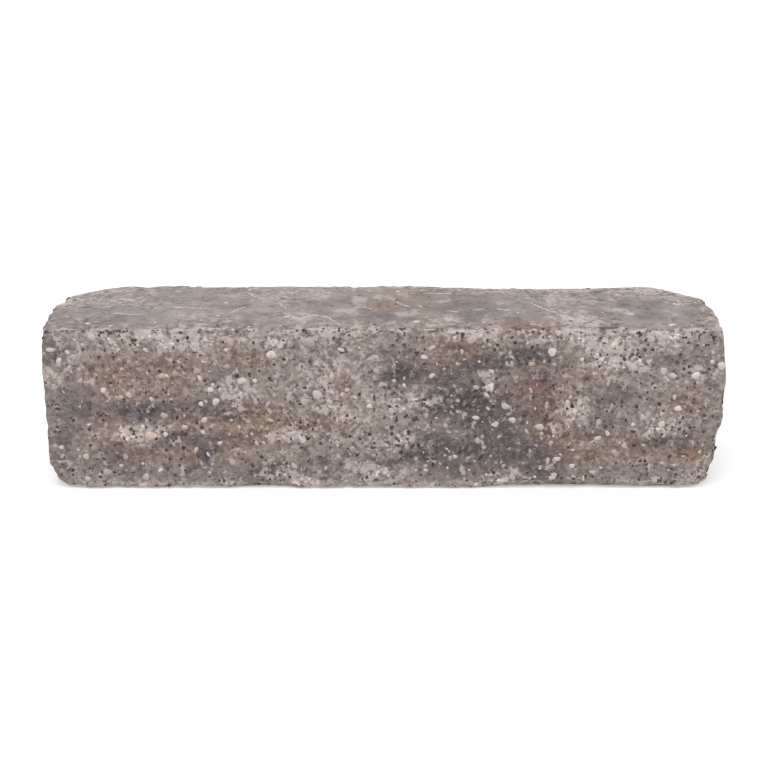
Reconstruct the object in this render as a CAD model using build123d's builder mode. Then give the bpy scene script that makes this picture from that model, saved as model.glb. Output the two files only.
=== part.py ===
"""Tumbled concrete sleeper: a solid block of coloured, exposed-aggregate concrete for edging and low walls.

The block is pressed in one piece in a steel mould and then rolled in a drum with others,
which rounds its arrises, knocks its corners off and breaks flakes and shells out of its edges.

Frame: origin in the middle of the underside, X along the sleeper, -Y its face side, Z up. Millimetres.
"""

from build123d import *
import os
from math import hypot, radians, tan

# The pressed block, before tumbling
length = 600.0
depth = 150.0
height = 150.0

# The left end isn't quite square: its upright arris on the face side stands short of the one at the rear
left_end_skew = 5.0

# Arrises rubbed round in the drum
arris_radius = 4.0

# Corners knocked off by a flat break: its reach along X, Y and Z from the square corner
left_face_bottom_knock = (22.0, 26.0, 26.0)
left_face_top_knock = (5.0, 40.0, 24.0)
left_rear_bottom_knock = (28.0, 22.0, 20.0)
left_rear_top_knock = (60.0, 52.0, 34.0)
right_face_bottom_knock = (27.0, 28.0, 38.0)
right_face_top_knock = (7.5, 76.0, 46.0)
right_rear_bottom_knock = (21.0, 30.0, 24.0)
right_rear_top_knock = (53.0, 56.0, 36.0)

# Flake broken off the right end, low down on the face side
right_flake_depth = 7.5
right_flake_top = 54.0
right_flake_reach = 95.0
right_flake_lip_angle = 58.0

# Flake broken off the left end, high up towards the rear
left_flake_depth = 7.0
left_flake_width = 52.0
left_flake_reach = 88.0
left_flake_lip_angle = 34.0

# Shells and worn stretches in the arrises: length along the arris, and bite from its square edge
short_shell = (26.0, 4.0)
middle_shell = (46.0, 5.0)
long_shell = (80.0, 6.0)
worn_stretch = (190.0, 7.0)
worn_rear_stretch = (260.0, 11.0)

# How far a cut is carried past the faces it breaks through
overcut = 20.0

half_length = length / 2
half_depth = depth / 2


def square_corner(x_side, y_side, z_side):
    """A corner of the pressed block; each side is -1 or 1."""
    skew = left_end_skew if x_side < 0 and y_side < 0 else 0.0
    return Vector(x_side * half_length + skew, y_side * half_depth, height if z_side > 0 else 0.0)


def knock_plane(side, reach):
    """The plane of a corner's break, facing out of the block."""
    outward = Vector(*(s / r for s, r in zip(side, reach)))
    along_x = Vector(side[0] * reach[0], 0, 0)
    return Plane(origin=square_corner(*side) - along_x, z_dir=outward)


def long_arris(y_side, z_side, from_middle):
    """A point on a long arris, measured along X from the middle of the sleeper, and the way it faces."""
    corner = square_corner(1, y_side, z_side)
    return Vector(from_middle, corner.Y, corner.Z), Vector(0, y_side, z_side)


def top_end_arris(x_side, from_middle):
    """A point on the top arris of an end, measured along Y from its middle, and the way it faces."""
    middle = (square_corner(x_side, -1, 1) + square_corner(x_side, 1, 1)) / 2
    return middle + Vector(0, from_middle, 0), Vector(x_side, 0, 1)


def upright_arris(x_side, y_side, from_floor):
    """A point on an upright arris, measured up from the underside, and the way it faces."""
    return square_corner(x_side, y_side, -1) + Vector(0, 0, from_floor), Vector(x_side, y_side, 0)


corner_knocks = [
    ((-1, -1, -1), left_face_bottom_knock),
    ((-1, -1, 1), left_face_top_knock),
    ((-1, 1, -1), left_rear_bottom_knock),
    ((-1, 1, 1), left_rear_top_knock),
    ((1, -1, -1), right_face_bottom_knock),
    ((1, -1, 1), right_face_top_knock),
    ((1, 1, -1), right_rear_bottom_knock),
    ((1, 1, 1), right_rear_top_knock),
]

arris_shells = [
    (long_arris(-1, 1, -172.0), short_shell),
    (long_arris(-1, 1, 64.0), middle_shell),
    (long_arris(-1, 1, 196.0), long_shell),
    (long_arris(-1, -1, -104.0), long_shell),
    (long_arris(-1, -1, 102.0), short_shell),
    (long_arris(-1, -1, 158.0), worn_stretch),
    (long_arris(-1, -1, 242.0), middle_shell),
    (long_arris(1, 1, -96.0), short_shell),
    (long_arris(1, 1, 150.0), worn_rear_stretch),
    (long_arris(1, -1, -184.0), middle_shell),
    (long_arris(1, -1, 58.0), long_shell),
    (top_end_arris(-1, -20.0), short_shell),
    (top_end_arris(-1, 26.0), middle_shell),
    (upright_arris(1, 1, 70.0), middle_shell),
    (upright_arris(-1, 1, 66.0), short_shell),
]

with BuildPart() as sleeper:
    # Sharp core of the block, smaller all round by the arris radius, with the corner breaks in it
    with BuildSketch(Plane.XY.offset(arris_radius)):
        with BuildLine():
            Polyline(
                square_corner(-1, -1, -1),
                square_corner(1, -1, -1),
                square_corner(1, 1, -1),
                square_corner(-1, 1, -1),
                close=True,
            )
        make_face()
        offset(amount=-arris_radius, kind=Kind.INTERSECTION, mode=Mode.REPLACE)
    extrude(amount=height - 2 * arris_radius)
    for side, reach in corner_knocks:
        split(bisect_by=knock_plane(side, reach).offset(-arris_radius), keep=Keep.BOTTOM)

    # Grown to full size, which rubs every arris and every edge of a break round
    offset(amount=arris_radius, kind=Kind.ARC)

    # Flake off the right end: drawn on the face side, thinning out to nothing towards the rear
    inner = half_length - right_flake_depth * (1 + overcut / right_flake_reach)
    outer = half_length + overcut
    lip_rise = (outer - inner) * tan(radians(right_flake_lip_angle))
    with BuildSketch(Plane.XZ.offset(half_depth + overcut)):
        with BuildLine():
            Polyline(
                (inner, -overcut),
                (outer, -overcut),
                (outer, right_flake_top + lip_rise),
                (inner, right_flake_top),
                close=True,
            )
        make_face()
    run_out = Vector(right_flake_depth, right_flake_reach, 0)
    extrude(amount=run_out.length * 2, dir=run_out, mode=Mode.SUBTRACT)

    # Flake off the left end: drawn on the top, thinning out to nothing downwards
    inner = -half_length + left_flake_depth * (1 + overcut / left_flake_reach)
    outer = -half_length - overcut
    lip = half_depth - left_flake_width
    lip_run = (inner - outer) / tan(radians(left_flake_lip_angle))
    with BuildSketch(Plane.XY.offset(height + overcut)):
        with BuildLine():
            Polyline(
                (inner, lip),
                (inner, half_depth + overcut),
                (outer, half_depth + overcut),
                (outer, lip - lip_run),
                close=True,
            )
        make_face()
    run_out = Vector(-left_flake_depth, 0, -left_flake_reach)
    extrude(amount=run_out.length * 2, dir=run_out, mode=Mode.SUBTRACT)

    # Shells and worn stretches: shallow hollows left by a ball that bites into the arris
    for (point, facing), (span, bite) in arris_shells:
        ball = hypot(span / 2, bite) ** 2 / (2 * bite)
        with Locations(point + facing.normalized() * (ball - bite)):
            Sphere(ball, mode=Mode.SUBTRACT)

sleeper.part.label = "sleeper"
os.makedirs("parts", exist_ok=True)
export_step(sleeper.part, "parts/sleeper.step")
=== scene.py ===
"""The tumbled concrete sleeper as it looks: its open, pitted skin with clouds of colour, and its pebbles."""

from math import pi, radians

import bpy
import numpy as np
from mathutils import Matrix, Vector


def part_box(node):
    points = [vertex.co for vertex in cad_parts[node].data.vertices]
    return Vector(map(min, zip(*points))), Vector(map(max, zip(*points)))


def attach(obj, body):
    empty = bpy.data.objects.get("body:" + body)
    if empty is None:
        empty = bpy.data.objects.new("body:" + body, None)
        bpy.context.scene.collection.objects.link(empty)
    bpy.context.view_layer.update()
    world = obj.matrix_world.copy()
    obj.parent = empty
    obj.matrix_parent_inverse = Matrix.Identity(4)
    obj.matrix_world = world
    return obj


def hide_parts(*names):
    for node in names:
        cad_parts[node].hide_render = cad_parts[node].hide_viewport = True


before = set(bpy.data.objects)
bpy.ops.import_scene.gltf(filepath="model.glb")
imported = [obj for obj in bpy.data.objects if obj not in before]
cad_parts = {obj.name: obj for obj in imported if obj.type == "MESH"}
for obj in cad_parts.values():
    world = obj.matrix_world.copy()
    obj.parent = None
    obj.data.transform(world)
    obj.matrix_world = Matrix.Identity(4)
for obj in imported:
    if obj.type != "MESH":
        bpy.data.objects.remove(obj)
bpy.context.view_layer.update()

# The block
# One solid piece of concrete, coloured in the mix, pressed in a mould and tumbled until its skin is open.
# Its surface follows the frame's solid, with low waves, lumps, grains and hollows rubbed into it.
MM = 0.001
# The skin's mesh (mm): the size of its cells, and how far outside the solid it starts
grid_spacing = 2.15
grid_stand_off = 3.0
rub_passes = 4


def box_grid(low, high, spacing):
    """Points and quads of a closed box: each side is a grid in two of the box's axes, its points at
    low + (i, j, k) * step, and the points that two sides share along an edge are merged."""
    counts = np.round((high - low) / spacing).astype(int)
    stride = np.array([(counts[1] + 1) * (counts[2] + 1), counts[2] + 1, 1])
    lattice, quads = [], []
    for axis in range(3):
        across, along = (axis + 1) % 3, (axis + 2) % 3
        for side in (0, counts[axis]):
            index = np.zeros((counts[across] + 1, counts[along] + 1, 3), int)
            index[..., axis] = side
            index[..., across] = np.arange(counts[across] + 1)[:, None]
            index[..., along] = np.arange(counts[along] + 1)
            key = index @ stride
            corners = [key[:-1, :-1], key[1:, :-1], key[1:, 1:], key[:-1, 1:]]
            ring = corners if side else corners[::-1]
            quads.append(np.stack(ring, -1).reshape(-1, 4))
            lattice.append(index.reshape(-1, 3))
    lattice = np.concatenate(lattice)
    keys, first = np.unique(lattice @ stride, return_index=True)
    points = low + lattice[first] * (high - low) / counts
    return points, np.searchsorted(keys, np.concatenate(quads))


def new_piece(name, points, faces):
    """A smooth-shaded object from points in millimetres, with its place in its mesh."""
    mesh = bpy.data.meshes.new(name)
    mesh.from_pydata(points * MM, [], faces)
    mesh.shade_smooth()
    piece = bpy.data.objects.new(name, mesh)
    bpy.context.scene.collection.objects.link(piece)
    return piece


def read_points(mesh):
    """The mesh's points in millimetres and their outward normals."""
    points = np.empty((len(mesh.vertices), 3), np.float32)
    normals = np.empty_like(points)
    mesh.vertices.foreach_get("co", points.ravel())
    mesh.vertex_normals.foreach_get("vector", normals.ravel())
    return points.astype(float) / MM, normals.astype(float)


low, high = (np.array(corner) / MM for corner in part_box("sleeper"))
block = new_piece("sleeper_block", *box_grid(low - grid_stand_off, high + grid_stand_off, grid_spacing))
wrap = block.modifiers.new("onto_the_solid", "SHRINKWRAP")
wrap.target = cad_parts["sleeper"]
wrap.wrap_method = "NEAREST_SURFACEPOINT"
rub = block.modifiers.new("rubbed_edges", "SMOOTH")
rub.iterations = rub_passes
wrapped = block.evaluated_get(bpy.context.evaluated_depsgraph_get())
block.data = bpy.data.meshes.new_from_object(wrapped)
block.modifiers.clear()
skin, outward = read_points(block.data)


def lattice_chance(cell, seed):
    """A fixed random number from 0 to 1 for each lattice point: its indices mixed by large odd factors."""
    factors = np.array([0x8DA6B343, 0xD8163841, 0xCB1AB31F], np.uint32)
    mixed = (cell.astype(np.int64).astype(np.uint32) * factors).sum(-1, dtype=np.uint32)
    mixed = mixed ^ np.uint32(seed * 0x9E3779B9 & 0xFFFFFFFF)
    for shift, factor in ((15, 0x2C1B3C6D), (12, 0x297A2D39)):
        mixed = (mixed ^ (mixed >> shift)) * np.array(factor, np.uint32)
    return (mixed ^ (mixed >> 15)) / 2.0**32


def smooth(value, start, end):
    """0 up to start, 1 from end, and 3t^2 - 2t^3 between them."""
    t = np.clip((value - start) / (end - start), 0, 1)
    return t * t * (3 - 2 * t)


def lumps(points, size, seed):
    """A smooth field from 0 to 1: random values on a lattice of this size, blended in each cell
    by 3t^2 - 2t^3."""
    cell = np.floor(points / size)
    part = smooth(points / size - cell, 0, 1)
    field = 0
    for corner in np.ndindex(2, 2, 2):
        weight = np.where(corner, part, 1 - part).prod(-1)
        field = field + weight * lattice_chance(cell + corner, seed)
    return field


def crumbs(points, size, seed, octaves=3):
    """Lumps with finer lumps on them: each octave has half the size and half the height of the one before."""
    shares = 0.5 ** np.arange(octaves)
    layers = [share * lumps(points, size * share, seed + step) for step, share in enumerate(shares)]
    return sum(layers) / shares.sum()


def hollows(points, size, share, reach, seed):
    """Round hollows, 1 in the middle and 0 at the rim: a point strays in each lattice cell, a share of the
    points has a hollow, and the fall-off is 1 - (distance / radius)^2 with a radius up to the reach."""
    home = np.floor(points / size)
    depth = np.zeros(len(points))
    for step in np.ndindex(3, 3, 3):
        cell = home + step - 1
        stray = np.stack([lattice_chance(cell, seed + axis) for axis in range(3)], -1)
        radius = reach * (0.5 + 0.5 * lattice_chance(cell, seed + 3))
        fall = 1 - ((points - (cell + stray) * size) ** 2).sum(-1) / radius**2
        depth = np.maximum(depth, np.where(lattice_chance(cell, seed + 4) < share, fall, 0))
    return depth


# How deep the relief goes, and the size of its lumps (mm)
wave_depth, wave_size = 0.8, 85.0
lump_depth, lump_size = 1.2, 18.0
grain_depth, grain_size = 0.8, 5.4
pit_depth, pit_spacing, pit_share, pit_reach = 1.2, 8.5, 0.36, 3.8
crumble_depth, crumble_size = 4.2, 13.0
bite_depth, bite_more_at_top, bite_size = 3.0, 1.2, 15.0
break_depth, break_size = 1.6, 12.0
# How far the wear of an arris reaches, how far past the top's edge is told, and how ragged that edge is (mm)
arris_reach = 8.0
upright_arris_reach = 12.0
edge_reach = 40.0
ragged_width, ragged_size = 60.0, 24.0
# The share of the relief that the press leaves off the top and the underside
press_share = 0.75

to_sides = np.sort(np.concatenate([skin - low, high - skin], axis=1), axis=1)
broken = smooth(to_sides[:, 0], 1.0, 5.0)
arris = np.exp(-((to_sides[:, 1] / arris_reach) ** 2))
to_uprights = np.minimum(skin - low, high - skin)[:, :2]
to_upright = to_uprights.min(1)
upright_arris = np.exp(-((to_uprights.max(1) / upright_arris_reach) ** 2))
over_edge = (to_upright - (high - skin)[:, 2]).clip(-edge_reach, edge_reach)
# The pressed top and underside, into which the open skin of the sides breaks along a ragged line
ragged = to_upright + ragged_width * (crumbs(skin, ragged_size, 20) - 0.5)
lying = smooth(np.abs(outward[:, 2]), 0.6, 0.9)
flat = lying * smooth(ragged, -6.0, 34.0)
pits = hollows(skin, pit_spacing, pit_share, pit_reach, 40)
depth = wave_depth * lumps(skin, wave_size, 1)
open_relief = lump_depth * crumbs(skin, lump_size, 2) + grain_depth * lumps(skin, grain_size, 6)
depth += (1 - press_share * flat) * (open_relief + pit_depth * pits)
bite_depths = bite_depth + bite_more_at_top * smooth(skin[:, 2], 60, 90)
bites = bite_depths * smooth(lumps(skin, bite_size, 16), 0.6, 0.85)
depth += arris * (crumble_depth * crumbs(skin, crumble_size, 8) ** 2 + bites)
depth += break_depth * broken * crumbs(skin, break_size, 12)
# Only the highest spot lies on the solid's own faces, so that the grains can stand a little proud of the skin
depth -= depth.min()
skin -= outward * depth[:, None]
block.data.vertices.foreach_set("co", (skin * MM).astype(np.float32).ravel())
block.data.update()

# Clouds of colour on the face side: middle along X and up Z, half length, half height (mm), and strength
brown_clouds = [
    (-190, 107, 57, 17, 0.38), (-234, 83, 18, 28, 0.45), (-177, 51, 105, 28, 0.3), (-115, 71, 40, 7, 0.8),
    (-61, 62, 28, 6, 0.8), (-115, 49, 31, 8, 0.55), (-32, 100, 7, 9, 0.6), (-52, 91, 16, 6, 0.25),
    (-129, 137, 9, 7, 0.5), (-155, 33, 22, 9, 0.6), (-221, 35, 18, 9, 0.35), (73, 130, 25, 11, 0.55),
    (47, 111, 22, 8, 0.55), (86, 116, 26, 9, 0.4), (143, 74, 16, 23, 0.65), (174, 32, 31, 9, 0.7),
    (156, 51, 22, 14, 0.45), (235, 44, 34, 12, 0.7), (268, 34, 14, 9, 0.8), (183, 109, 22, 8, 0.4),
    (137, 95, 18, 15, 0.7), (-150, 68, 28, 9, 0.6), (-84, 14, 18, 9, 0.5), (268, 76, 22, 14, 0.4),
    (130, 14, 26, 9, 0.4), (142, 124, 20, 9, 0.4), (-182, 121, 22, 8, 0.4), (-112, 121, 18, 9, 0.5),
    (188, 84, 18, 10, 0.35), (190, 50, 18, 8, 0.3), (137, 49, 14, 9, 0.4),
]
anthracite_clouds = [
    (18, 107, 20, 9, 0.9), (77, 88, 26, 8, 0.9), (48, 81, 16, 11, 0.7), (86, 74, 44, 19, 0.6),
    (64, 39, 39, 13, 0.9), (117, 40, 26, 19, 0.5), (118, 122, 22, 8, 1.0), (77, 116, 18, 9, 0.5),
    (-212, 76, 19, 7, 0.8), (-177, 44, 31, 8, 0.4), (-153, 37, 9, 8, 0.6), (-265, 79, 22, 17, 0.4),
    (-282, 46, 11, 23, 0.3), (-95, 14, 20, 7, 0.4), (16, 29, 35, 4, 0.5), (-186, 74, 53, 11, 0.35),
    (207, 84, 20, 10, 0.5), (250, 48, 34, 11, 0.4), (-283, 130, 15, 16, 0.4), (64, 17, 26, 9, 0.45),
    (142, 17, 20, 10, 0.45), (138, 33, 16, 8, 0.5), (-140, 76, 24, 11, 0.25), (137, 103, 16, 8, 0.4),
    (240, 121, 22, 8, 0.4), (-182, 46, 12, 8, 0.3), (60, 103, 20, 7, 0.5), (-231, 31, 16, 9, 0.4),
    (282, 116, 12, 12, 0.35), (195, 66, 22, 9, 0.3), (14, 49, 16, 8, 0.3), (190, 52, 16, 7, 0.25),
    (-58, 136, 12, 8, 0.3), (-133, 108, 14, 8, 0.25), (-190, 19, 80, 7, 0.25), (-40, 20, 70, 7, 0.25),
    (215, 17, 60, 7, 0.2),
]
lime_clouds = [
    (-129, 94, 20, 9, 0.45), (-213, 53, 20, 7, 0.75), (-282, 104, 10, 9, 0.4), (-269, 119, 9, 12, 0.45),
    (-172, 140, 34, 8, 0.6), (-50, 106, 34, 20, 0.3), (77, 143, 18, 6, 0.8), (169, 150, 22, 9, 1.0),
    (238, 141, 20, 9, 0.9), (208, 118, 20, 10, 0.8), (169, 72, 13, 11, 0.7), (244, 62, 20, 7, 0.6),
    (279, 114, 13, 8, 0.5), (95, 93, 5, 13, 0.5), (-74, 54, 13, 7, 0.5), (12, 46, 26, 8, 0.35),
    (-2, 18, 25, 11, 0.4), (110, 10, 12, 7, 0.7), (186, 138, 36, 14, 0.4), (138, 141, 14, 8, 0.6),
    (26, 86, 26, 8, 0.5), (-84, 140, 18, 8, 0.45), (-35, 141, 18, 8, 0.5), (-231, 139, 14, 10, 0.5),
    (-84, 13, 16, 8, 0.6), (-35, 68, 24, 9, 0.4), (284, 12, 14, 8, 0.5), (-84, 50, 16, 8, 0.3),
]
rust_clouds = [(126, 146, 16, 6, 0.9), (132, 97, 13, 5, 1.0), (270, 35, 10, 6, 0.6), (-30, 100, 5, 5, 0.6)]
# The same for the top: middle along X and along Y, half length, half width, and strength
top_brown_clouds = [
    (25, 0, 95, 60, 0.6), (-140, 4, 30, 20, 0.35), (175, -12, 40, 44, 0.2), (126, -66, 26, 12, 0.6),
    (-110, 40, 50, 30, 0.25),
]
top_anthracite_clouds = [
    (250, 0, 46, 70, 0.32), (110, -40, 24, 14, 0.65), (6, -42, 34, 14, 0.5), (85, -2, 50, 16, 0.25),
    (-250, -38, 34, 14, 0.15), (-240, 0, 60, 70, 0.2), (85, -40, 20, 18, 0.5),
]
top_lime_clouds = [
    (-225, 10, 50, 22, 0.4), (-95, 32, 34, 26, 0.45), (-72, -40, 26, 14, 0.6), (168, 20, 40, 40, 0.45),
    (168, -46, 18, 18, 1.0), (58, -42, 14, 12, 0.6), (255, 48, 44, 28, 0.6), (-166, -40, 18, 12, 0.3),
    (-278, 2, 16, 20, 0.4), (-268, 46, 32, 28, 0.5), (140, 62, 110, 14, 0.35),
]
top_rust_clouds = [(128, -68, 18, 8, 0.8)]
# How far and how finely the clouds' outlines wander, and how deep the face side's clouds reach into the block
cloud_wander, wander_size = 16.0, 26.0
cloud_reach = 34.0
# Clouds on the hidden sides: their size, their finer scale along X, which draws them out, their strength,
# and the level of the crumb field at which they are full
free_size, free_stretch, free_strength, free_full = 38.0, 0.36, 0.7, 0.74


def placed_clouds(along, across, clouds):
    """The sum of soft ellipses: each is its strength times
    exp(-(along / half length)^2 - (across / half height)^2)."""
    middle, level, half_length, half_height, strength = np.array(clouds, float).T
    away = ((along[:, None] - middle) / half_length) ** 2 + ((across[:, None] - level) / half_height) ** 2
    return (strength * np.exp(-away)).sum(1)


def free_clouds(points, seed, start, end):
    """Clouds with no set place, drawn out along X: the part of a stretched crumb field above a level."""
    return smooth(crumbs(points * [free_stretch, 1, 1], free_size, seed), start, end)


wander = np.stack([crumbs(skin, wander_size, 60 + 4 * axis) for axis in range(3)], -1) - 0.5
drifted = skin + cloud_wander * wander
along, across, up = drifted.T
face_share = np.exp(-(((skin[:, 1] - low[1]) / cloud_reach) ** 2))
top_share = smooth(outward[:, 2], 0.4, 0.8)
tints = []
for on_face, on_top, seed, start in (
    (brown_clouds, top_brown_clouds, 80, 0.47),
    (anthracite_clouds, top_anthracite_clouds, 84, 0.5),
    (lime_clouds, top_lime_clouds, 88, 0.53),
    (rust_clouds, top_rust_clouds, 92, 0.66),
):
    round_about = free_strength * free_clouds(drifted, seed, start, free_full)
    round_about += face_share * (placed_clouds(along, up, on_face) - round_about)
    tints.append(round_about + top_share * (placed_clouds(along, across, on_top) - round_about))
tints = np.stack(tints, -1).clip(0, 1)


def store(mesh, name, values):
    """Keeps four values a point in a colour attribute."""
    layer = mesh.color_attributes.new(name, "FLOAT_COLOR", "POINT")
    layer.data.foreach_set("color", values.astype(np.float32).ravel())


store(block.data, "tints", tints)
store(block.data, "wear", np.stack([pits, arris, flat, over_edge], -1))


class Wire:
    """A value carried between a material's nodes; sums, products and comparisons of wires add Math nodes."""

    def __init__(self, tree, socket):
        self.tree = tree
        self.socket = socket

    def node(self, kind, settings, sockets, output=0):
        """Adds a node: its settings first, then a value or a wire on each of its sockets."""
        made = self.tree.nodes.new(kind)
        for name, value in settings.items():
            setattr(made, name, value)
        for name, value in sockets.items():
            if isinstance(value, Wire):
                self.tree.links.new(value.socket, made.inputs[name])
            else:
                made.inputs[name].default_value = value
        return Wire(self.tree, made.outputs[output])

    def beside(self, output):
        """Another output of the node that this wire leaves."""
        return Wire(self.tree, self.socket.node.outputs[output])

    def math(self, operation, *values):
        return self.node("ShaderNodeMath", {"operation": operation}, dict(enumerate(values)))

    def __add__(self, other):
        return self.math("ADD", self, other)

    def __sub__(self, other):
        return self.math("SUBTRACT", self, other)

    def __rsub__(self, other):
        return self.math("SUBTRACT", other, self)

    def __mul__(self, other):
        return self.math("MULTIPLY", self, other)

    def __lt__(self, other):
        return self.math("LESS_THAN", self, other)

    __radd__ = __add__
    __rmul__ = __mul__

    def rise(self, start, end):
        """0 up to start, 1 from end, and a smooth step between them."""
        sockets = {"Value": self, "From Min": start, "From Max": end}
        return self.node("ShaderNodeMapRange", {"interpolation_type": "SMOOTHSTEP"}, sockets)

    def blend(self, first, second):
        """The first colour where this wire is 0 and the second where it is 1."""
        return self.node("ShaderNodeMix", {"data_type": "RGBA"}, {0: self, 6: first, 7: second}, 2)

    def parts(self):
        """A colour's red, green and blue as three wires."""
        red = self.node("ShaderNodeSeparateColor", {}, {0: self})
        return red, red.beside(1), red.beside(2)

    def scaled(self, factor):
        """A colour or a place times a number."""
        return self.node("ShaderNodeVectorMath", {"operation": "SCALE"}, {0: self, "Scale": factor})

    def stretched(self, factors):
        """A place times a number along each axis."""
        return self.node("ShaderNodeVectorMath", {"operation": "MULTIPLY"}, {0: self, 1: factors})

    def noise(self, size, detail=1.0):
        """A smooth field from about 0.2 to 0.8 over this place, with lumps of this size."""
        return self.node("ShaderNodeTexNoise", {}, {"Vector": self, "Scale": 1 / size, "Detail": detail})


def paint(red, green, blue):
    """A colour as it is seen on a screen, 0 to 255, as the shader's linear colour."""
    seen = np.array([red, green, blue]) / 255
    linear = np.where(seen <= 0.04045, seen / 12.92, ((seen + 0.055) / 1.055) ** 2.4)
    return (*linear.tolist(), 1.0)


def new_finish(name):
    """A material, its shader, and the place on the piece in millimetres."""
    material = bpy.data.materials.new(name)
    material.use_nodes = True
    tree = material.node_tree
    place = Wire(tree, tree.nodes.new("ShaderNodeTexCoord").outputs["Object"])
    return material, tree.nodes["Principled BSDF"], place.scaled(1 / MM)


def feed(shader, **wires):
    """Links wires to the shader's sockets, named with _ for a space."""
    for name, wire in wires.items():
        wire.tree.links.new(wire.socket, shader.inputs[name.replace("_", " ")])


def strewn(place, size, share, reach, rim):
    """Round bits strewn through the concrete and cut by its skin: a share of the cells of a cell pattern
    holds one, with a radius of up to the reach. Gives its mask, and a random number for each bit."""
    distance = place.node("ShaderNodeTexVoronoi", {}, {"Vector": place, "Scale": 1 / size})
    chance, width, shade = distance.beside("Color").parts()
    radius = (0.45 + 0.55 * width) * (reach / size) * (chance < share)
    return (radius - distance).rise(0.0, rim / size), shade


concrete, shader, place = new_finish("tumbled_concrete")
clouds = place.node("ShaderNodeAttribute", {"attribute_name": "tints"}, {}, "Color")
brown, anthracite, lime = clouds.parts()
rust = clouds.beside("Alpha")
wear = place.node("ShaderNodeAttribute", {"attribute_name": "wear"}, {}, "Color")
hollow, edge, pressed = wear.parts()
past_edge = wear.beside("Alpha")

# The cement and sand: a warm grey, mottled at several sizes, that takes the clouds' colours
cement = paint(155, 142, 136)
pressed_cement = paint(151, 144, 143)
rust_brown = paint(128, 103, 92)
strays = place.node("ShaderNodeTexNoise", {}, {"Vector": place, "Scale": 1 / 2.8}, "Color")
bent = place.node("ShaderNodeVectorMath", {"operation": "ADD"}, {0: place, 1: strays.scaled(3.2)})
soft_cells = {"Vector": bent, "Scale": 1 / 2.6, "Smoothness": 0.4}
sand = place.node("ShaderNodeTexVoronoi", {"feature": "SMOOTH_F1"}, soft_cells, "Color").parts()[0]
patch = place.stretched((0.5, 1.0, 1.0)).noise(24.0, 3.0)
blotch = place.stretched((0.4, 1.0, 1.0)).noise(48.0, 3.0)
mottle = place.noise(12.0, 3.0)
speckle = place.noise(5.6, 2.0)
streak = place.stretched((0.7, 0.5, 1.0)).noise(13.0, 4.0)
fringe = 0.3 + 1.4 * patch
patchy = fringe * (0.4 + 1.2 * mottle) * (0.25 + 1.5 * speckle) * (0.5 + sand)
earth = sand.blend(paint(112, 92, 80), paint(159, 138, 124))
slate = sand.blend(paint(62, 57, 59), paint(122, 114, 114))
chalk = sand.blend(paint(168, 155, 149), paint(214, 201, 195))
hue = (brown * patchy * 1.5).blend(cement, earth)
hue = (anthracite * patchy * 1.65).blend(hue, slate)
hue = (pressed * (0.68 - 0.7 * brown)).blend(hue, pressed_cement)
hue = (lime * patchy * (1.2 - 0.48 * pressed)).blend(hue, chalk)
hue = (rust * patchy * (1.0 - 0.4 * pressed)).blend(hue, rust_brown)
open_skin = 1.0 - 0.75 * pressed * (1.0 - 0.8 * lime)
tone = 0.445 + 0.6 * mottle + 0.5 * blotch + pressed * (1.1 * streak - 0.55)
colour = hue.scaled(tone + open_skin * (0.6 * sand + 1.15 * speckle - 0.88))

# Pale crusts, dark grit and dark level seams that show through the worn cement
crust_paint = paint(196, 183, 177)
grit_paint = paint(86, 77, 75)
seam_paint = paint(84, 77, 78)
rim = past_edge.rise(36.0, 4.0) * past_edge.rise(-9.0, -2.0)
crust = (place.noise(8.5, 4.0) + 0.2 * lime + 0.07 * edge + 0.06 * rim).rise(0.61, 0.67) * open_skin
grit = (place.noise(6.6, 4.0) + 0.1 * anthracite).rise(0.61, 0.68) * open_skin
seam = place.stretched((0.12, 1.0, 1.0)).noise(7.0, 2.0).rise(0.6, 0.7) * open_skin
colour = (0.8 * crust).blend(colour, crust_paint)
colour = (0.6 * grit).blend(colour, grit_paint)
colour = (seam * (0.25 + 0.5 * anthracite)).blend(colour, seam_paint)

# Pale streaks on the top, and along its edge a pale line, partly crumbled crust and partly a painted
# highlight on the arris, with a broken band of painted shade below it, as of shaded pits
streak_paint = paint(192, 180, 176)
# Painted highlight: the pale line is partly the arris's crust and partly the light it catches
crust_and_highlight_paint = paint(204, 191, 186)
# Painted shade: the dark of small shaded pits under the arris line
pit_shade_paint = paint(76, 67, 65)
colour = (0.6 * pressed * streak.rise(0.58, 0.68)).blend(colour, streak_paint)
waver = past_edge + 8.0 * (place.noise(11.0, 4.0) - 0.5)
line = waver.math("ABSOLUTE", waver - 0.4).rise(3.2, 1.2) * place.noise(14.0, 4.0).rise(0.47, 0.54)
pit_shade = waver.math("ABSOLUTE", waver + 4.5).rise(3.0, 1.0) * place.noise(3.6, 1.0).rise(0.54, 0.62)
at_arris = edge.rise(0.45, 0.75)
colour = (0.8 * line * at_arris).blend(colour, crust_and_highlight_paint)
colour = (0.7 * pit_shade * at_arris).blend(colour, pit_shade_paint)

# The finest bits of stone, pale and dark
pale_stone = (paint(160, 148, 143), paint(208, 195, 190))
dark_stone = (paint(60, 51, 50), paint(98, 88, 85))
small, small_shade = strewn(bent, 5.0, 0.35 * open_skin + 0.25 * lime + 0.3 * anthracite, 2.4, 0.9)
dark, dark_shade = strewn(bent, 5.0, 0.4 * open_skin, 2.1, 0.8)
colour = (0.8 * small).blend(colour, small_shade.blend(*pale_stone))
colour = (0.85 * dark).blend(colour, dark_shade.blend(*dark_stone))
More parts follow.
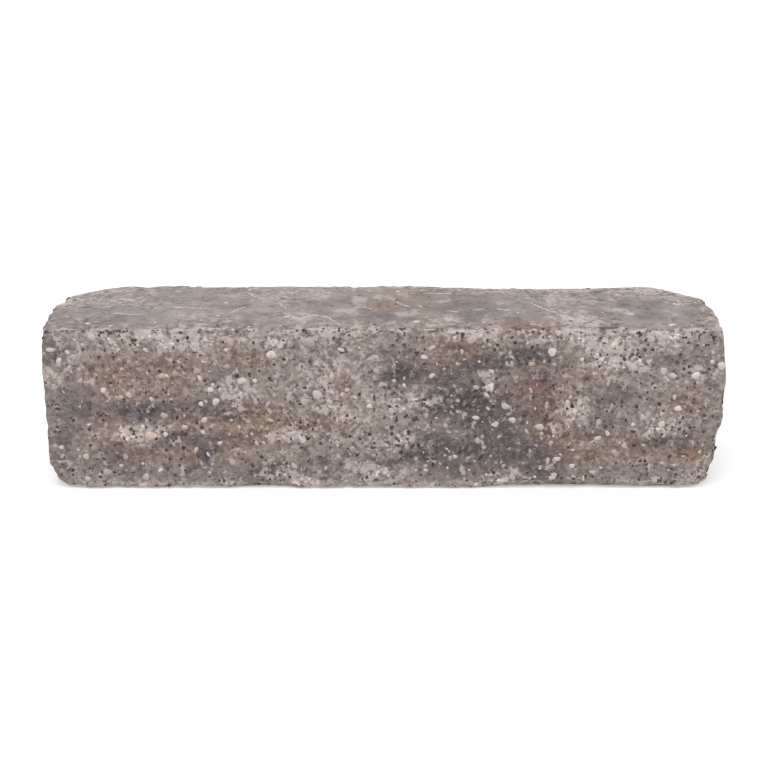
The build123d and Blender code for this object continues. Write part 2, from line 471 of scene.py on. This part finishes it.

# Pits are darkened with painted shade, and the foot of the faces is lifted with painted light, paler towards
# the floor, against the shade that falls there
from_floor = place.node("ShaderNodeSeparateXYZ", {}, {0: place}, "Z")
# Painted light: the faces grow paler within about 12 mm of the floor
foot = (from_floor + 8.0 * mottle - 4.0).rise(12.0, 3.0) * (1.0 - pressed)
colour = colour.scaled((1.0 - 0.4 * hollow) * (1.0 + 0.45 * foot))
height = open_skin * (0.8 * speckle + 0.3 * sand) + 0.5 * crust + 0.2 * small - 0.5 * grit - 0.3 * dark
bump = place.node("ShaderNodeBump", {}, {"Height": height, "Distance": MM, "Strength": 0.8}, "Normal")
feed(shader, Base_Color=colour, Roughness=0.95 - 0.15 * small, Normal=bump)
shader.inputs["Specular IOR Level"].default_value = 0.3
block.data.materials.append(concrete)
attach(block, "root")
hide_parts("sleeper")

# The pebbles
# Rounded gravel in the mix, laid open where tumbling rubbed the cement away: each pebble sits in the skin
# with its crown just proud of it. The larger ones on the face side have their own places.
pebble_paints = {
    "white": paint(214, 201, 196),
    "cream": paint(206, 187, 172),
    "tan": paint(184, 168, 152),
    "grey": paint(186, 173, 168),
    "red": paint(178, 134, 118),
}
# Place along X and up Z, half length, half width (mm), turn from level (degrees), and paint
face_pebbles = [
    (-94, 125, 4.2, 3.2, -30, "white"), (-120, 102, 4.2, 3.3, 10, "white"),
    (-159, 134, 3.6, 3.2, 0, "white"), (-147, 134, 2.7, 2.5, 0, "white"), (-129, 136, 3.6, 3.2, 0, "cream"),
    (-189, 141, 3.6, 3.0, 0, "white"), (-247, 140, 3.5, 2.7, -15, "white"),
    (-284, 130, 3.5, 2.0, 5, "white"), (-277, 118, 3.6, 2.2, 80, "white"), (-188, 107, 3.8, 2.6, 20, "tan"),
    (-159, 110, 3.0, 2.8, 0, "tan"), (-218, 88, 3.1, 2.9, 0, "white"), (-226, 86, 2.7, 2.5, 0, "tan"),
    (-149, 93, 2.7, 2.6, 0, "white"), (-144, 83, 3.0, 2.5, 20, "white"), (-134, 115, 3.0, 2.3, 0, "grey"),
    (-190, 69, 3.0, 2.4, 0, "tan"), (-201, 50, 5.0, 3.6, 10, "cream"), (-157, 55, 2.8, 2.6, 0, "white"),
    (-172, 58, 2.8, 2.4, 0, "white"), (-163, 38, 3.7, 2.1, 65, "cream"), (-102, 43, 3.1, 2.6, -10, "cream"),
    (-127, 37, 3.7, 1.9, 10, "grey"), (-242, 16, 3.6, 3.0, 25, "grey"), (-209, 12, 3.2, 2.7, 0, "grey"),
    (-56, 88, 4.4, 3.5, 0, "white"), (-66, 82, 3.5, 3.0, 0, "grey"), (-63, 135, 5.2, 4.2, 0, "grey"),
    (-4, 110, 2.8, 2.6, 0, "grey"), (-30, 103, 1.9, 1.6, 60, "red"), (77, 138, 5.6, 3.0, 35, "cream"),
    (44, 106, 2.8, 2.3, 20, "cream"), (44, 131, 2.8, 2.0, 30, "white"), (37, 123, 2.5, 2.1, 0, "white"),
    (95, 95, 3.5, 2.4, 75, "white"), (90, 89, 3.6, 1.8, -50, "white"), (107, 78, 3.5, 2.9, -20, "white"),
    (82, 68, 3.6, 2.2, 0, "white"), (98, 62, 2.9, 2.5, 0, "white"), (114, 65, 2.8, 2.5, 0, "cream"),
    (137, 60, 3.8, 2.9, -25, "white"), (146, 128, 4.5, 4.0, 20, "white"),
    (215, 115, 5.2, 3.3, -35, "white"), (242, 111, 3.5, 3.2, 0, "white"), (251, 107, 3.1, 2.8, 0, "white"),
    (271, 106, 3.7, 2.9, 15, "white"), (293, 115, 3.6, 3.2, 0, "white"), (189, 63, 3.8, 2.8, 80, "grey"),
    (206, 69, 3.6, 2.0, 70, "grey"), (189, 48, 3.9, 2.1, 12, "white"), (257, 76, 3.1, 2.9, 0, "white"),
    (245, 61, 4.5, 3.3, 5, "white"), (228, 67, 3.1, 2.6, 0, "grey"), (155, 30, 2.9, 2.4, 20, "white"),
    (153, 15, 2.9, 2.5, 0, "white"), (151, 8, 3.2, 2.2, 0, "cream"), (187, 17, 3.8, 1.8, -12, "cream"),
    (-35, 73, 2.7, 2.2, 10, "cream"), (-29, 93, 2.2, 2.0, 0, "cream"), (9, 75, 2.7, 2.5, 0, "white"),
    (-80, 53, 5.0, 2.6, 10, "grey"),
]
# A pebble that is sunk in the skin is made this much larger, to show the size it has in the list
sunk_growth = 1.2
# The strewn ones: how many, and their half lengths (mm); most of the small ones are near the least
large_pebbles = 170
large_half_long = (2.4, 5.0)
small_pebbles = 1100
small_least, small_more = 1.5, 2.2
# How round a pebble is: half thickness to half width, how far its outline strays, and its points
grain_flatness = 0.4
pebble_stray = 0.13
pebble_rings, pebble_around = 4, 9
# The least distance of a grain from the box round the solid
clearance = 0.02
picks = np.random.default_rng(7)


def pick_seats(share, count):
    """Points of the skin picked at random, each as likely as its share."""
    return picks.choice(len(skin), count, replace=False, p=share / share.sum())


def grains(name, seats, half_long, half_wide, turn, proud, rings, around, stray):
    """Flat ellipsoids in the skin, one at each seat, as one piece. At latitude a and longitude b the point is
    middle + cos(a) * outline(b) * (long axis * cos(b) + wide axis * sin(b)) + outward * sin(a) * half thick,
    where the outline strays by a second and a third harmonic. A share of the half thickness is proud of the
    skin, and the last two points of each grain are its poles."""
    up = outward[seats]
    level = np.cross(np.where(np.abs(up[:, 2:]) < 0.8, [[0.0, 0.0, 1.0]], [[0.0, 1.0, 0.0]]), up)
    level /= np.linalg.norm(level, axis=1, keepdims=True)
    steep = np.cross(up, level)
    long_axis = level * np.cos(turn)[:, None] + steep * np.sin(turn)[:, None]
    wide_axis = np.cross(up, long_axis)
    half_thick = grain_flatness * half_wide
    middle = skin[seats] + up * (half_thick * (proud - 1))[:, None]
    latitude = np.linspace(-pi / 2, pi / 2, rings + 2)[1:-1, None]
    longitude = np.linspace(0, 2 * pi, around, endpoint=False)
    phase = picks.uniform(0, 2 * pi, (2, len(seats), 1))
    outline = 1 + stray * (np.cos(2 * longitude + phase[0]) + np.cos(3 * longitude + phase[1]))
    reach = np.cos(latitude) * outline[:, None, :]
    sideways = (reach * np.cos(longitude) * half_long[:, None, None])[..., None] * long_axis[:, None, None]
    sideways += (reach * np.sin(longitude) * half_wide[:, None, None])[..., None] * wide_axis[:, None, None]
    rise = (np.sin(latitude) * half_thick[:, None, None])[..., None] * up[:, None, None]
    shells = (middle[:, None, None] + sideways + rise).reshape(len(seats), -1, 3)
    poles = middle[:, None] + np.array([[-1], [1]]) * (half_thick[:, None] * up)[:, None]
    points = np.concatenate([shells, poles], 1)

    ring = np.arange(around)
    onward = (ring + 1) % around
    below = np.arange(rings - 1)[:, None] * around
    quads = np.stack([below + ring, below + onward, below + onward + around, below + ring + around], -1)
    crown = (rings - 1) * around
    foot = np.full(around, rings * around)
    caps = [np.stack([onward, ring, foot], -1), np.stack([crown + ring, crown + onward, foot + 1], -1)]
    first = (np.arange(len(seats)) * points.shape[1])[:, None, None]
    faces = (first + quads.reshape(-1, 4)).reshape(-1, 4).tolist()
    faces += (first + np.concatenate(caps)).reshape(-1, 3).tolist()
    return new_piece(name, points.reshape(-1, 3).clip(low + clearance, high - clearance), faces)


face_x, face_z, face_long, face_wide, face_turn, face_paint = (list(column) for column in zip(*face_pebbles))
front = np.flatnonzero(outward[:, 1] < -0.8)
misses = (skin[front, :1] - face_x) ** 2 + (skin[front, 2:] - face_z) ** 2
worn_open = (1 - 0.88 * np.maximum(flat, 0.85 * lying)) * (arris < 0.3) * (broken < 0.5)
seats = np.concatenate([
    front[misses.argmin(0)],
    pick_seats(worn_open * (outward[:, 1] > -0.6), large_pebbles),
    pick_seats(worn_open * (0.35 + 1.3 * tints[:, 2]), small_pebbles),
])
half_long = np.concatenate([
    np.array(face_long) * sunk_growth,
    picks.uniform(*large_half_long, large_pebbles),
    small_least + small_more * picks.uniform(0, 1, small_pebbles) ** 2,
])
random_count = large_pebbles + small_pebbles
slimness = np.concatenate([np.divide(face_wide, face_long), picks.uniform(0.4, 0.9, random_count)])
half_wide = half_long * slimness
turn = np.radians(np.concatenate([face_turn, picks.uniform(-90, 90, random_count)]))
common_paints = picks.choice(["white", "white", "grey", "grey", "grey", "cream"], random_count)
pebble_colours = np.array([pebble_paints[name] for name in face_paint + common_paints.tolist()])
pebble_colours[:, :3] *= picks.uniform(0.8, 1.1, len(seats))[:, None]
proud = picks.uniform(0.4, 0.75, len(seats))
pebble_points = (pebble_rings, pebble_around)
pebbles = grains("pebbles", seats, half_long, half_wide, turn, proud, *pebble_points, pebble_stray)
points_each = pebble_rings * pebble_around + 2
store(pebbles.data, "grain_paint", np.repeat(pebble_colours, points_each, axis=0))

gravel, shader, place = new_finish("rounded_gravel")
own = place.node("ShaderNodeAttribute", {"attribute_name": "grain_paint"}, {}, "Color")
veins = place.noise(2.6, 3.0)
film = place.noise(4.2, 3.0).rise(0.56, 0.68)
colour = (0.35 * film).blend(own.scaled(0.75 + 0.5 * veins), paint(156, 144, 139))
bump = place.node("ShaderNodeBump", {}, {"Height": veins, "Distance": MM, "Strength": 0.35}, "Normal")
feed(shader, Base_Color=colour, Roughness=0.6 + 0.3 * film, Normal=bump)
pebbles.data.materials.append(gravel)
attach(pebbles, "root")

# The black grains
# Angular chips of black stone in the mix, cut level with the worn skin and thickest along the arrises.
chip_count = 1400
# Half lengths (mm), most of them near the least, and how far an outline strays
chip_least, chip_more = 1.45, 1.2
chip_stray = 0.14
chip_rings, chip_around = 2, 6
crowded = smooth(crumbs(skin, 34.0, 97), 0.35, 0.65)
chip_share = (1 - 0.8 * lying) * (1 - 0.8 * flat) * (0.3 + 1.2 * crowded + 0.6 * arris)
chip_share *= 1 - 0.9 * upright_arris
seats = pick_seats(chip_share, chip_count)
half_long = chip_least + chip_more * picks.uniform(0, 1, chip_count) ** 2
half_wide = half_long * picks.uniform(0.6, 1.0, chip_count)
turn = picks.uniform(-pi, pi, chip_count)
proud = (1 - 0.8 * arris[seats]) * picks.uniform(0.4, 0.7, chip_count)
chips = grains("black_grains", seats, half_long, half_wide, turn, proud, chip_rings, chip_around, chip_stray)
chips.data.shade_flat()
chip_black, chip_grey = np.array(paint(46, 39, 39)), np.array(paint(84, 74, 72))
chip_colours = chip_black + picks.uniform(0, 1, (chip_count, 1)) * (chip_grey - chip_black)
store(chips.data, "grain_paint", np.repeat(chip_colours, chip_rings * chip_around + 2, axis=0))

basalt, shader, place = new_finish("black_stone")
own = place.node("ShaderNodeAttribute", {"attribute_name": "grain_paint"}, {}, "Color")
fleck = place.noise(1.2, 2.0)
feed(shader, Base_Color=own.scaled(0.6 + 0.8 * fleck), Roughness=0.6 + 0.4 * fleck)
chips.data.materials.append(basalt)
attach(chips, "root")

# The scores
# Scratches that other blocks drew across the top in the drum. Each is a low bead of pale, rubbed-off dust.
# Paths on the top: points along X and along Y (mm)
score_paths = [
    [(-132, 46), (-121, 36), (-110, 21)], [(-105, 11), (-93, 5), (-86, -14)],
    [(-88, -25), (-77, -43), (-54, -54)], [(-75, -25), (-53, -36), (-37, -61), (-29, -70)],
    [(12, 14), (25, -7)], [(56, -21), (71, -25)], [(79, -18), (91, -14)], [(98, -14), (114, -21)],
    [(-138, -29), (-121, -7)], [(137, 4), (151, -25)], [(261, 21), (270, 14), (273, -7)],
    [(-250, 20), (-222, 12)], [(-196, -2), (-150, -14)], [(-240, -30), (-205, -34)], [(40, 42), (66, 38)],
    [(96, 50), (122, 46)], [(-20, -8), (-8, -16)], [(186, 14), (206, 4)],
]
score_step = 1.5
score_half_width = 1.5
score_half_thick = 0.4
score_around = 6
# How far and how finely a score wanders, the size of its rough spots, and how far round its bed is averaged
score_wander, score_wander_size = 9.0, 14.0
score_rough_size = 4.0
score_bed_reach = 1.0


def beads(name, paths):
    """Flat beads along paths on the top, as one piece. At step i and angle b the point is
    path(i) + taper(i) * (sideways * cos(b) * half width + up * sin(b) * half thickness). The taper is the
    root of a half sine wave, roughened, and the path wanders and lies in the skin, whose level is averaged
    round about. A pole closes each end."""
    top_skin = skin[outward[:, 2] > 0.9]
    angle = np.linspace(0, 2 * pi, score_around, endpoint=False)
    ring = np.arange(score_around)
    onward = (ring + 1) % score_around
    points, faces, first = [], [], 0
    for path in paths:
        stations = np.array(path, float)
        way = np.append(0, np.hypot(*np.diff(stations, axis=0).T).cumsum())
        run = np.linspace(0, way[-1], round(way[-1] / score_step))
        middle = np.stack([np.interp(run, way, column) for column in stations.T], -1)
        lattice = np.append(middle, np.zeros((len(run), 1)), axis=1)
        stray = np.stack([crumbs(lattice, score_wander_size, 100 + axis) for axis in range(2)], -1) - 0.5
        middle += score_wander * stray
        away = ((middle[:, None] - top_skin[:, :2]) ** 2).sum(-1)
        nearness = np.exp(-away / (2 * score_bed_reach**2))
        level = nearness @ top_skin[:, 2] / nearness.sum(1)
        ahead = np.gradient(middle, axis=0)
        sideways = ahead[:, ::-1] * [-1, 1] / np.linalg.norm(ahead, axis=1, keepdims=True)
        taper = np.sin(pi * run / run[-1]).clip(0) ** 0.5
        taper *= 0.4 + 1.2 * lumps(lattice, score_rough_size, 104)
        across = (taper[:, None] * np.cos(angle) * score_half_width)[..., None] * sideways[:, None]
        rise = level[:, None] + taper[:, None] * np.sin(angle) * score_half_thick
        rings = np.concatenate([middle[:, None] + across, rise[..., None]], -1)[1:-1]
        ends = np.append(middle, level[:, None], axis=1)[[0, -1]]
        below = first + np.arange(len(rings) - 1)[:, None] * score_around
        quads = [below + ring, below + onward, below + onward + score_around, below + ring + score_around]
        foot = first + len(rings) * score_around
        last = foot - score_around
        faces += np.stack(quads, -1).reshape(-1, 4).tolist()
        faces += np.stack([first + onward, first + ring, np.full(score_around, foot)], -1).tolist()
        faces += np.stack([last + ring, last + onward, np.full(score_around, foot + 1)], -1).tolist()
        points += [rings.reshape(-1, 3), ends]
        first = foot + 2
    return new_piece(name, np.concatenate(points).clip(low + clearance, high - clearance), faces)


scores = beads("scores", score_paths)
dust, shader, place = new_finish("rubbed_dust")
grain = place.noise(2.4, 3.0)
colour = grain.rise(0.4, 0.6).blend(paint(168, 157, 153), paint(214, 202, 198))
feed(shader, Base_Color=colour, Roughness=0.8 + 0.3 * grain)
scores.data.materials.append(dust)
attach(scores, "root")

# The floor
# A plain pale studio floor that carries the sleeper and its shadow, and shows white to the camera.
floor_half = 40000.0
floor_grey = 0.72
floor_corners = np.array([[-1, -1, 0], [1, -1, 0], [1, 1, 0], [-1, 1, 0]]) * floor_half
floor = new_piece("floor", floor_corners, [[0, 1, 2, 3]])
# The glow that lifts the lit floor to white for the camera
floor_white = 0.34


def seen_directly(tree):
    """1 for rays from the camera, or by way of a mirror or a glass, and 0 for those that carry light."""
    camera = Wire(tree, tree.nodes.new("ShaderNodeLightPath").outputs["Is Camera Ray"])
    glossy = camera.math("MAXIMUM", camera, camera.beside("Is Glossy Ray"))
    return camera.math("MAXIMUM", glossy, camera.beside("Is Transmission Ray"))


pale_floor, shader, place = new_finish("pale_floor")
shader.inputs["Base Color"].default_value = (floor_grey, floor_grey, floor_grey, 1.0)
shader.inputs["Roughness"].default_value = 1.0
shader.inputs["Specular IOR Level"].default_value = 0.0
shader.inputs["Emission Strength"].default_value = floor_white
feed(shader, Emission_Color=seen_directly(pale_floor.node_tree))
floor.data.materials.append(pale_floor)

# The light
# Plain soft studio light: an even surround, and a broad lamp high up in front, a little to the left.
surround = 0.5
lamp_level = 0.66
# The lamp's height above the floor, its turn to the side, and its breadth (degrees)
lamp_rise, lamp_swing, lamp_breadth = 62.0, -6.0, 36.0
world = bpy.data.worlds.new("surround")
world.use_nodes = True
bpy.context.scene.world = world
tree = world.node_tree
tree.nodes["Background"].inputs["Strength"].default_value = surround
tree.nodes["Background"].inputs["Color"].default_value = (1, 1, 1, 1)
direct = seen_directly(tree)
white = direct.node("ShaderNodeBackground", {}, {"Color": (1, 1, 1, 1), "Strength": 1.0})
even = Wire(tree, tree.nodes["Background"].outputs[0])
mixed = direct.node("ShaderNodeMixShader", {}, {0: direct, 1: even, 2: white})
tree.links.new(mixed.socket, tree.nodes["World Output"].inputs["Surface"])
lamp_data = bpy.data.lights.new("broad_lamp", "SUN")
lamp_data.energy = lamp_level * pi
lamp_data.angle = radians(lamp_breadth)
lamp = bpy.data.objects.new("broad_lamp", lamp_data)
lamp.rotation_euler = (radians(90 - lamp_rise), 0, radians(lamp_swing))
bpy.context.scene.collection.objects.link(lamp)
bpy.context.scene.view_settings.view_transform = "Standard"

# The camera
# Square on to the face side and looking down on it, with a long lens.
camera_place = (2.0, -1120.0, 453.6)
camera_tilt = 18.735
camera_lens = 60.0
film_width = 36.0
camera_data = bpy.data.cameras.new("camera")
camera_data.lens = camera_lens
camera_data.sensor_width = film_width
camera = bpy.data.objects.new("camera", camera_data)
camera.location = np.array(camera_place) * MM
camera.rotation_euler = (radians(90 - camera_tilt), 0, 0)
bpy.context.scene.collection.objects.link(camera)
bpy.context.scene.camera = camera
